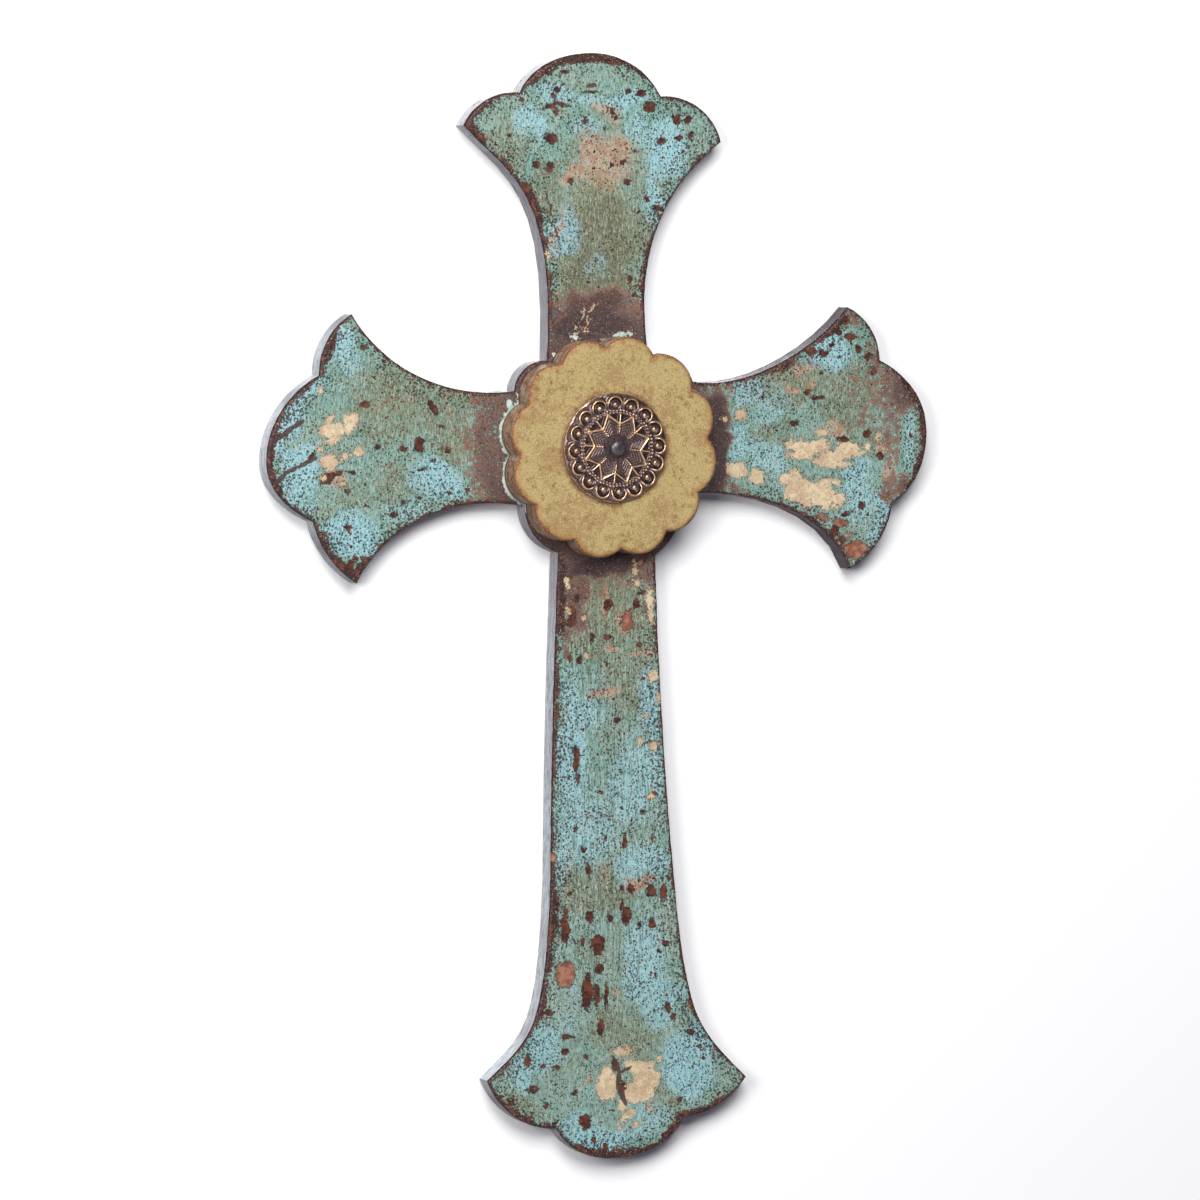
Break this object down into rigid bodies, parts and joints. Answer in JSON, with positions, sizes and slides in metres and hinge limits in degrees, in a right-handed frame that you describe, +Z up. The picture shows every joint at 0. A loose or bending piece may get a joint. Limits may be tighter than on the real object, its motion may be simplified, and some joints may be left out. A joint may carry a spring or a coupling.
{
  "type": "medallion cross",
  "caption": "Wall cross cut from a flat board with lobed, horned arm ends, with a scalloped wooden medallion and a stamped brass rosette on its hub.",
  "frame": {"origin": "on the flat back of the top arm, on the cross's middle line, 6 mm above the keyhole slot and 120 mm above the middle of the medallion", "axes": "+X to the right as seen by someone facing the cross, +Y from the cross into the wall, +Z up along the shaft towards the top arm"},
  "size_m": [0.317, 0.0316, 0.497],
  "materials": {
    "turquoise_paint": "matte, crackled and rubbed turquoise paint over dark brown wood",
    "olive_gold_paint": "matte olive-gold paint rubbed to a rusty edge",
    "antique_brass": "darkened in the hollows, bright on the ridges",
    "dark_steel": "dark, satin"
  },
  "bodies": {
    "root": {"cross_board": "turquoise_paint", "medallion": "olive_gold_paint", "rosette": "antique_brass", "centre_tack": "dark_steel"}
  },
  "joints": []
}
